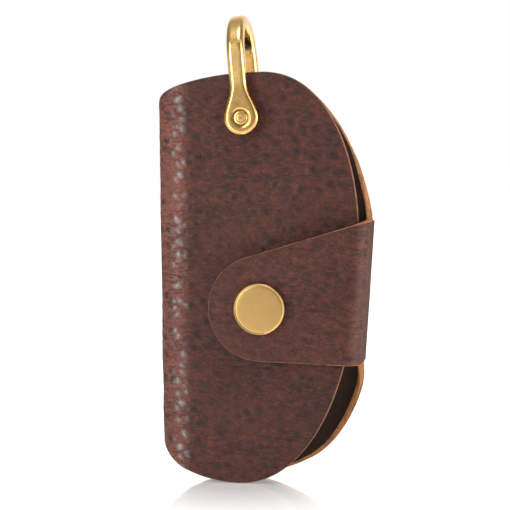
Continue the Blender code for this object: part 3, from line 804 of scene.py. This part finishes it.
back_flat = to_flat(back_outline, 1.0)
SEAM_TOP, SEAM_LOW = seam_places(back_flat)
front_run = open_run(to_flat(front_outline, -1.0), front_outline)
back_run = open_run(back_flat, back_outline)
inside = to_fold(*back_run.T)[0] < -SEAM_BACK
first = int(np.argmin(inside))
last = len(inside) - int(np.argmin(inside[::-1]))
seam_ends = [from_fold(-SEAM_BACK, SEAM_TOP), from_fold(-SEAM_BACK, SEAM_LOW)]
wrap_edge = np.vstack([[seam_ends[1]], back_run[last:], front_run[::-1], back_run[:first],
                       [seam_ends[0]]])
WRAP_POINTS = (640, 150)
WRAP_RINGS = 150
SPINE_SMOOTHING = 12
wrap_flat, on_seam = with_seam(wrap_edge, *WRAP_POINTS)
smooth_zone = np.abs(wrap_flat[:, 0]) < BEND * 0.5
for _ in range(SPINE_SMOOTHING):
    moved = (np.roll(wrap_flat, 1, axis=0) + np.roll(wrap_flat, -1, axis=0)) / 2
    wrap_flat[smooth_zone] = moved[smooth_zone]
leather_wrap = sheet_mesh("leather_wrap", wrap_flat, np.array([0.0, WRAP_HEIGHT * 0.5]), WRAP_RINGS,
                          wrap_map, LEATHER_SET, lambda s, z: (s, z), on_seam,
                          wrap_flat[:, 0] < BEND)

# ---- the strap: fold and flap
FULL_SHARE = 0.999
FOLD_FADE = 0.004
FLAP_FADE, FLAP_WAVE, FLAP_HEIGHT = 0.006, 0.012, 0.00006


def strap_middle(run, along):
    """Folds flat places past the fold line round to the front; the panel's margin bends less."""
    s, z = from_fold(run, along)
    share = bend_share(along)
    full_across, full_depth = strap_path(run)
    part = np.clip(share, 1e-3, 1.0)
    angle = np.clip(run, 0.0, ARC_RUN) * part / ARC_MID
    radius = ARC_MID / part
    part_across = np.minimum(run, 0.0) + radius * np.sin(angle) + np.maximum(run - ARC_RUN, 0.0)
    part_depth = radius * (1.0 - np.cos(angle))
    whole = (share > FULL_SHARE) | (run > ARC_RUN)
    across = np.where(whole, full_across, part_across)
    depth = np.where(whole, full_depth, part_depth)
    depth = depth + np.where(run > ARC_RUN, 0.0, curl_depth(s, z))
    x = FOLD.x + across * COS_T + along * SIN_T
    z3 = FOLD.z - across * SIN_T + along * COS_T
    return np.column_stack([x, FOLD.y - depth, z3])


def strap_map(run, along, h):
    s, z = from_fold(run, along)
    fade = np.clip(1.0 - run / FOLD_FADE, 0.0, 1.0)
    lift = warp_height(s, z) * np.where(run < 0.0, 1.0, fade)
    lift = lift + FLAP_HEIGHT * value_noise(s, z, FLAP_WAVE, 4.0) * smoothstep(run / FLAP_FADE)
    lift = lift + np.where(h > 0.0, pebble_height(s, z), 0.0)
    return off_middle(strap_middle, run, along, h + lift)


ROOT_EDGE = 260
ROOT_SEAM = 80
ROOT_RINGS = 44
ROOT_HEART = 0.0028
FLARE_OVERLAP, BELLY_OVERLAP = 0.003, 0.001
CORNER_PASSES, CORNER_HELD = 6, 3
back_across, back_along = to_fold(*back_flat.T)
right_side = back_outline[:, 0] > SPINE_RADIUS
flare = (back_across > -SEAM_BACK) & (back_along > HIGH - FLARE_OVERLAP) & right_side
belly = (back_across > -SEAM_BACK) & (back_along < LOW + BELLY_OVERLAP) & right_side
top_edge, low_edge = edge_points(0.0, MID_FOLD, 200)


def root_side(zone, level, edge, above):
    """One free side of the strap's root, from the hidden seam to the middle of the fold.

    The panel's margin runs down to the strap's edge, and the corner between them is rounded.
    """
    margin = np.column_stack([back_across[zone], back_along[zone]])
    margin = margin[np.argsort(-margin[:, 1] if above else margin[:, 1])]
    limit = np.interp(margin[:, 0], edge[:, 0], edge[:, 1])
    margin = margin[margin[:, 1] > limit if above else margin[:, 1] < limit]
    rest = edge[edge[:, 0] > margin[-1, 0]]
    run = resample(np.vstack([[(-SEAM_BACK, level)], margin, rest]), 240)
    for _ in range(CORNER_PASSES):
        moved = run.copy()
        moved[1:-1] = (run[:-2] + run[2:]) / 2
        moved[:CORNER_HELD], moved[-CORNER_HELD:] = run[:CORNER_HELD], run[-CORNER_HELD:]
        run = moved
    return run


top_part = resample(root_side(flare, SEAM_TOP, top_edge, True), ROOT_EDGE)
low_part = resample(root_side(belly, SEAM_LOW, low_edge, False)[::-1], ROOT_EDGE)
mid_seam = between(top_part[-1], low_part[0], ROOT_SEAM)
back_seam = between(low_part[-1], top_part[0], ROOT_SEAM)
root_flat = np.vstack([top_part, mid_seam, low_part, back_seam])
root_seam = np.repeat([False, True, False, True], [ROOT_EDGE, ROOT_SEAM, ROOT_EDGE, ROOT_SEAM])
strap_root = sheet_mesh("strap_root", root_flat, np.array([ROOT_HEART, (HIGH + LOW) / 2]), ROOT_RINGS,
                        strap_map, STRAP_SET, from_fold, root_seam, np.zeros(len(root_flat), bool))

FLAP_POINTS = (460, 100)
FLAP_RINGS = 96
FLAP_BORE = 0.0022
FLAP_DARK_FROM = 0.004


def flap_points(x, z):
    across = (x - FOLD.x) * COS_T - (z - FOLD.z) * SIN_T
    along = (x - FOLD.x) * SIN_T + (z - FOLD.z) * COS_T
    return np.column_stack([FLAP_START - across, along])


end_angles = np.linspace(math.pi / 2 + STRAP_TOP_SLOPE, 3 * math.pi / 2 - STRAP_BOTTOM_SLOPE, 90)
round_end = flap_points(SNAP.x + STRAP_END_RADIUS * np.cos(end_angles),
                        SNAP.z + STRAP_END_RADIUS * np.sin(end_angles))
flap_top, flap_low = edge_points(MID_FOLD, FLAP_START, 60)
flap_flat, flap_seam = with_seam(np.vstack([flap_top, round_end, flap_low[::-1]]), *FLAP_POINTS)
strap_flap = sheet_mesh("strap_flap", flap_flat, flap_points(SNAP.x, SNAP.z)[0], FLAP_RINGS,
                        strap_map, STRAP_SET, from_fold, flap_seam,
                        flap_flat[:, 0] > FLAP_START + FLAP_DARK_FROM, FLAP_BORE)


# ---- turned brass pieces
def add_face(body, corners):
    """A face from four corners, three where two of them are the same point."""
    unique = list(dict.fromkeys(corners))
    if len(unique) > 2:
        body.faces.new(unique)


def turned(name, profile, steps, material):
    """Closed round piece about local Z from (radius, height) points, axis ends at radius 0."""
    body = bmesh.new()
    rings = []
    for radius, height in profile:
        count = steps if radius > 1e-9 else 1
        rings.append([body.verts.new((radius * math.cos(2 * math.pi * k / steps),
                                      radius * math.sin(2 * math.pi * k / steps), height))
                      for k in range(count)])
    for a, b in zip(rings, rings[1:]):
        for k in range(steps):
            j = (k + 1) % steps
            add_face(body, [a[k % len(a)], a[j % len(a)], b[j % len(b)], b[k % len(b)]])
    bmesh.ops.recalc_face_normals(body, faces=body.faces)
    return mesh_from(name, body, material)


def rounded_profile(corners, radius, steps):
    """Profile with each inner corner of (radius, height) points rounded by a small arc."""
    points = [corners[0]]
    for before, corner, after in zip(corners, corners[1:], corners[2:]):
        b, c, a = Vector(before), Vector(corner), Vector(after)
        reach = min(radius, (b - c).length * 0.45, (a - c).length * 0.45)
        start, end = c + (b - c).normalized() * reach, c + (a - c).normalized() * reach
        for k in range(steps + 1):
            t = k / steps
            p = start * (1 - t) ** 2 + c * (2 * t * (1 - t)) + end * t ** 2
            points.append((p.x, p.y))
    points.append(corners[-1])
    return points


def stand_on(item, place, lean=0.0):
    """Turn local Z to -Y at a place, leaning about the Y axis."""
    item.matrix_world = (Matrix.Translation(place) @ Matrix.Rotation(-lean, 4, "Y")
                         @ Matrix.Rotation(math.pi / 2, 4, "X"))
    item.data.transform(item.matrix_world)
    item.matrix_world = Matrix.Identity(4)
    return item


def boolean_cut(item, cutter):
    change = item.modifiers.new("cut", "BOOLEAN")
    change.operation = "DIFFERENCE"
    change.solver = "EXACT"
    change.object = cutter
    bpy.context.view_layer.update()
    graph = bpy.context.evaluated_depsgraph_get()
    mesh = bpy.data.meshes.new_from_object(item.evaluated_get(graph))
    item.modifiers.clear()
    old = item.data
    item.data = mesh
    mesh.name = item.name
    bpy.data.meshes.remove(old)
    bpy.data.objects.remove(cutter, do_unlink=True)


def plug(radius, length, place, lean=0.0, steps=64, material=cut_edge):
    """Round cutter about the Y axis, centred at a place."""
    item = turned("plug", [(0.0, length / 2), (radius, length / 2), (radius, -length / 2),
                           (0.0, -length / 2)], steps, material)
    return stand_on(item, place, lean)


PIN_HOLE = 0.00205
STUD_HOLE = 0.0017
THROUGH = 0.05
boolean_cut(leather_wrap, plug(PIN_HOLE, THROUGH, PIN))
boolean_cut(leather_wrap, plug(STUD_HOLE, LEATHER * 3, Vector((SNAP.x, -PANEL_Y, SNAP.z))))
for piece in (leather_wrap, strap_root, strap_flap):
    finish_mesh(piece, 50.0)

# Cap profile as shares of its radius and height: crowned face, groove, rolled bead, open back.
cap_face = cap_hi.y - cap_lo.y + FIT_GAP
cap_profile = [(CAP_RADIUS * share, cap_face * level) for share, level in (
    (0.0, 0.900), (0.45, 0.898), (0.80, 0.890), (0.885, 0.875), (0.915, 0.835), (0.940, 0.880),
    (0.965, 0.900), (0.985, 0.840), (0.998, 0.68), (1.000, 0.45), (0.980, 0.18))]
cap_profile += [(CAP_RADIUS * 0.940, 0.00004), (CAP_RADIUS * 0.860, 0.00002), (0.0, 0.00002)]
CAP_ROUND, CAP_ARC, CAP_STEPS = 0.0004, 4, 144
snap_cap_face = turned("snap_cap_face", rounded_profile(cap_profile, CAP_ROUND, CAP_ARC), CAP_STEPS,
                       cap_brass)
stand_on(snap_cap_face, Vector((SNAP.x, -STRAP_FACE_Y, SNAP.z)))
finish_mesh(snap_cap_face, 60.0)

# ---- shackle: a flat bar bent to a U
EAR_RADIUS = 0.00436
EAR_Y = 0.0080
BAR_HALF = 0.0016
BAR_ROUND = 0.00125
BOW_RISE = 0.0145
BOW_TOP = 0.0236
HALF_STEM = 0.00215
NECK = 0.0080
PIN_RADIUS = 0.00175
PIN_FIT = 0.00012
BAR_STEP = 0.00005
BAR_ROWS = 12
BAR_RIM_STEPS = 7
TURNED_STEPS = 72

bow_angles = np.linspace(0.0, math.pi, 241)
bow_y = -EAR_Y * np.cos(bow_angles)
bow_z = BOW_RISE + (BOW_TOP - BOW_RISE) * np.sin(bow_angles)
bow_steps = np.hypot(np.diff(bow_y), np.diff(bow_z))
leg_run = EAR_RADIUS + BOW_RISE
path_run = np.concatenate([[0.0], leg_run + np.concatenate([[0.0], np.cumsum(bow_steps)])])
path_run = np.append(path_run, path_run[-1] + leg_run)
path_y = np.concatenate([[-EAR_Y], bow_y, [EAR_Y]])
path_z = np.concatenate([[-EAR_RADIUS], bow_z, [-EAR_RADIUS]])
BAR_LENGTH = float(path_run[-1])


def half_width(run):
    """Half width of the flat bar at a run from the front ear's lowest point."""
    run = np.minimum(run, BAR_LENGTH - run)
    up = run - EAR_RADIUS
    disc = np.sqrt(np.clip(EAR_RADIUS ** 2 - up ** 2, 0.0, None))
    t = np.clip(up / NECK, 0.0, 1.0)
    neck = EAR_RADIUS * (1 - t) ** 3 + 3 * EAR_RADIUS * (1 - t) ** 2 * t * 0.985
    neck = neck + 3 * (1 - t) * t ** 2 * HALF_STEM * 1.06 + t ** 3 * HALF_STEM
    return np.where(up < 0, disc, neck)


def bow_at(run):
    return np.array([np.interp(run, path_run, path) for path in (path_y, path_z)])


def bar_map(run, across, h):
    """Bends the flat bar along the U; h is towards the outside of the bow."""
    y, z = bow_at(run)
    dy, dz = bow_at(run + BAR_STEP) - bow_at(run - BAR_STEP)
    dy = np.where((run < BAR_STEP) | (run > BAR_LENGTH - BAR_STEP), 0.0, dy)
    size = np.hypot(dy, dz) + 1e-12
    ny, nz = -dz / size, dy / size
    pz = z + nz * h
    lean_x = across * math.cos(SHACKLE_LEAN) - pz * math.sin(SHACKLE_LEAN)
    lean_z = across * math.sin(SHACKLE_LEAN) + pz * math.cos(SHACKLE_LEAN)
    return np.column_stack([PIN.x + lean_x, y + ny * h, PIN.z + lean_z])


def ladder_mesh(name, runs, width, material):
    """Closed bar bent along the U from its flat outline: rounded rim, rungs across the faces."""
    right = np.column_stack([runs, width])
    outline = np.vstack([right, (right * [1.0, -1.0])[-2:0:-1]])
    normal = outline_normals(outline)
    inset = outline - normal * BAR_ROUND
    inset[:, 1] = np.where(outline[:, 1] >= 0, np.maximum(inset[:, 1], 0.0),
                           np.minimum(inset[:, 1], 0.0))
    n, count = len(outline), len(runs)
    profile = rim_profile(BAR_RIM_STEPS)
    ring_set = [(inset + normal * BAR_ROUND * out, BAR_HALF - BAR_ROUND * down)
                for out, down in profile]
    ring_set += [(flat, -level) for flat, level in reversed(ring_set)]
    flat_all = np.vstack([flat for flat, _ in ring_set])
    body = bmesh.new()
    levels = np.repeat([level for _, level in ring_set], n)
    verts = [body.verts.new(p) for p in bar_map(*flat_all.T, levels)]
    rings = len(ring_set)
    for k in range(rings - 1):
        for corners in ring_quads(k * n, (k + 1) * n, n):
            body.faces.new([verts[c] for c in corners])
    for base, level in ((0, BAR_HALF), ((rings - 1) * n, -BAR_HALF)):
        rows_of = []
        for i in range(count):
            a, b = verts[base + i], verts[base + (n - i) % n]
            if i in (0, count - 1):
                rows_of.append([a])
                continue
            row = between(inset[i], inset[(n - i) % n], BAR_ROWS - 1)
            row_points = bar_map(*row.T, np.full(len(row), level))
            rows_of.append([a] + [body.verts.new(p) for p in row_points] + [b])
        for left, follow in zip(rows_of, rows_of[1:]):
            for k in range(BAR_ROWS):
                add_face(body, [row[min(c, len(row) - 1)] for row, c in
                                ((left, k), (left, k + 1), (follow, k + 1), (follow, k))])
    bmesh.ops.recalc_face_normals(body, faces=body.faces)
    return mesh_from(name, body, material)


ear_angles = np.linspace(0.0, math.pi / 2, 28)
ear_runs = EAR_RADIUS * (1 - np.cos(ear_angles))
middle_runs = np.linspace(EAR_RADIUS, BAR_LENGTH - EAR_RADIUS, 220)[1:-1]
bar_runs = np.concatenate([ear_runs, middle_runs, BAR_LENGTH - ear_runs[::-1]])
bar_width = half_width(bar_runs)
bar_width[0] = bar_width[-1] = 0.0
shackle_bow = ladder_mesh("shackle_bow", bar_runs, bar_width, shackle_brass)
boolean_cut(shackle_bow, plug(PIN_RADIUS + PIN_FIT, THROUGH, PIN, SHACKLE_LEAN, TURNED_STEPS,
                              shackle_brass))
sink = turned("sink", [(0.0, 0.0006), (0.0029, 0.0006), (0.00250, 0.0), (0.0022, -0.00020),
                       (0.0, -0.00020)], TURNED_STEPS, shackle_brass)
boolean_cut(shackle_bow, stand_on(sink, Vector((PIN.x, -EAR_Y - BAR_HALF, PIN.z)), SHACKLE_LEAN))
finish_mesh(shackle_bow, 40.0)

# ---- pin with turned end and slotted head
PIN_HEAD_THICK = 0.0017
SLOT_DEEP, SLOT_WIDE = 0.0014, 0.0008
pin_front = -pin_lo.y
pin_back = -pin_hi.y
head_seat = pin_back + PIN_HEAD_THICK
PIN_HEAD = (pin_hi.x - pin_lo.x) / 2
pin_profile = [(radius, pin_front - back) for radius, back in (
    (0.0, 0.00002), (0.00040, 0.00003), (0.00046, 0.00010), (0.00054, 0.00010), (0.00060, 0.00004),
    (0.00098, 0.00007), (0.00104, 0.00014), (0.00112, 0.00014), (0.00118, 0.00010),
    (0.00150, 0.00016), (PIN_RADIUS, 0.00045))]
pin_profile += [(PIN_RADIUS, head_seat), (PIN_HEAD, head_seat), (PIN_HEAD, pin_back + 0.0005),
                (PIN_HEAD * 0.90, pin_back + 0.00008), (PIN_HEAD * 0.5, pin_back), (0.0, pin_back)]
PIN_STEPS = 96
pin_turned = turned("shackle_pin_turned", pin_profile, PIN_STEPS, pin_brass)
stand_on(pin_turned, Vector((PIN.x, 0.0, PIN.z)), SHACKLE_LEAN)
slot_body = bmesh.new()
bmesh.ops.create_cube(slot_body, size=1.0)
bmesh.ops.scale(slot_body, vec=(PIN_HEAD * 3, SLOT_DEEP, SLOT_WIDE), verts=slot_body.verts)
slot = mesh_from("slot", slot_body, pin_brass)
slot.matrix_world = (Matrix.Translation((PIN.x, -pin_back, PIN.z))
                     @ Matrix.Rotation(-SHACKLE_LEAN, 4, "Y"))
boolean_cut(pin_turned, slot)
finish_mesh(pin_turned, 35.0)

# ---- what rides on what
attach(leather_wrap, "wrap_body")
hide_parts("front_panel", "spine_fold", "back_panel")
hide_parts("strap_fold")
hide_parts("closure_strap")
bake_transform(strap_root)
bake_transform(strap_flap)
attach(snap_cap_face, "strap_body")
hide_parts("snap_cap")
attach(shackle_bow, "shackle_body")
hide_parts("shackle")
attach(pin_turned, "pin_body")
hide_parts("shackle_pin")

for node, material in (("snap_cap_post", inner_brass), ("snap_socket", inner_brass),
                       ("snap_stud", inner_brass), ("stud_post", inner_brass),
                       ("socket_spring", spring_bronze)):
    mesh = frame["nodes"][node].data
    mesh.materials.clear()
    mesh.materials.append(material)

# ---- floor
REFLECTION = 0.68
REFLECTION_START = 0.012
REFLECTION_REACH = 0.090
FLOOR_GAP = 0.0001
FLOOR_SIDE, FLOOR_FRONT, FLOOR_BACK = 0.6, -0.26, 1.4
WHITE = (1.0, 1.0, 1.0)
PALE = (0.92, 0.92, 0.92)
floor_material, fg, floor_shader = new_material("floor_gloss")
floor_body = bmesh.new()
floor_body.faces.new([floor_body.verts.new((x, y, 0.0)) for x, y in
                      ((-FLOOR_SIDE, FLOOR_FRONT), (FLOOR_SIDE, FLOOR_FRONT),
                       (FLOOR_SIDE, FLOOR_BACK), (-FLOOR_SIDE, FLOOR_BACK))])
floor = mesh_from("floor", floor_body, floor_material)
floor.location = (0.0, 0.0, BASE_Z - FLOOR_GAP)
fg.wire(floor_shader, Base_Color=PALE, Roughness=0.55, Specular_IOR_Level=0.2,
        Emission_Color=WHITE, Emission_Strength=0.80)
mirror = fg.node("BsdfGlossy")
fg.wire(mirror, Color=WHITE, Roughness=0.05)
floor_place = fg.node("TexCoord")
floor_reach = fg.node("VectorMath", operation="LENGTH")
fg.link(floor_place.outputs["Object"], floor_reach.inputs[0])
sheen_mask = fg.span(floor_reach.outputs["Value"], REFLECTION_START, REFLECTION_REACH, REFLECTION, 0.0)
fg.blend(sheen_mask, floor_shader.outputs["BSDF"], mirror.outputs["BSDF"])

# ---- light
# Brightness of the room from straight down (0) to straight up (1), and of the wall behind.
ROOM = [(0.0, 0.40), (0.40, 0.60), (0.49, 0.76), (0.57, 0.45), (0.75, 0.22), (1.0, 0.60)]
BACK_WALL = (1.1, 1.1, 1.1)
LEFT_LEVEL, RIGHT_LEVEL = 0.92, 0.70
scene = bpy.context.scene
scene.view_settings.view_transform = "Standard"
world = bpy.data.worlds.new("studio")
scene.world = world
world.use_nodes = True
wt = world.node_tree
wt.nodes.clear()
wg = Graph(wt)
out = wg.node("OutputWorld")
back = wg.node("Background")
seen = wg.node("Background")
wg.wire(seen, Color=WHITE)
coords = wg.node("TexCoord")
split = wg.node("SeparateXYZ")
wg.wire(split, Vector=coords.outputs["Generated"])
sky = wg.greys(wg.span(split.outputs["Z"], -1.0, 1.0), ROOM)
side_dim = wg.span(split.outputs["X"], -0.2, 1.0, LEFT_LEVEL, RIGHT_LEVEL)
room = wg.mix(1.0, sky, side_dim, "MULTIPLY")
backdrop = wg.span(split.outputs["Y"], 0.45, 0.75)
wg.wire(back, Color=wg.mix(backdrop, room, BACK_WALL))
path = wg.node("LightPath")
wg.blend(path.outputs["Is Camera Ray"], back.outputs["Background"], seen.outputs["Background"], out)


heart = Vector((0.005, 0.0, BASE_Z + 0.055))


def softbox(name, offset, size, power):
    """A rectangular light at an offset from the object's heart, aimed at it."""
    data = bpy.data.lights.new(name, "AREA")
    data.shape = "RECTANGLE"
    data.size, data.size_y = size
    data.energy = power
    lamp = place_object(name, data)
    lamp.location = heart + Vector(offset)
    lamp.rotation_euler = (heart - lamp.location).to_track_quat("-Z", "Y").to_euler()


softbox("key_left", (-0.225, -0.36, 0.08), (0.12, 0.42), 1.15)
softbox("fill_right", (0.36, -0.16, 0.12), (0.16, 0.36), 0.55)
softbox("right", (0.42, -0.03, 0.04), (0.20, 0.30), 0.95)
softbox("top", (0.03, -0.17, 0.42), (0.20, 0.16), 1.00)
softbox("front", (0.05, -0.60, 0.25), (0.30, 0.20), 0.10)

# ---- camera
CAMERA_TURN = math.radians(11.0)
CAMERA_RISE = math.radians(4.0)
LENS = 120.0
SENSOR = 36.0
VIEW_WIDTH = 0.1265
VIEW_CENTRE_X, VIEW_CENTRE_Z = 0.02425, 0.05616
aim_point = Vector((LEFT_X + VIEW_CENTRE_X, 0.0, BASE_Z + VIEW_CENTRE_Z))
camera_data = bpy.data.cameras.new("camera")
camera_data.lens = LENS
camera_data.sensor_width = SENSOR
camera = place_object("camera", camera_data)
towards = Vector((math.sin(CAMERA_TURN) * math.cos(CAMERA_RISE),
                  -math.cos(CAMERA_TURN) * math.cos(CAMERA_RISE), math.sin(CAMERA_RISE)))
camera.location = aim_point + towards * (VIEW_WIDTH * LENS / SENSOR)
camera.rotation_euler = (-towards).to_track_quat("-Z", "Y").to_euler()
camera_data.clip_start = 0.01
camera_data.clip_end = 20.0
scene.camera = camera
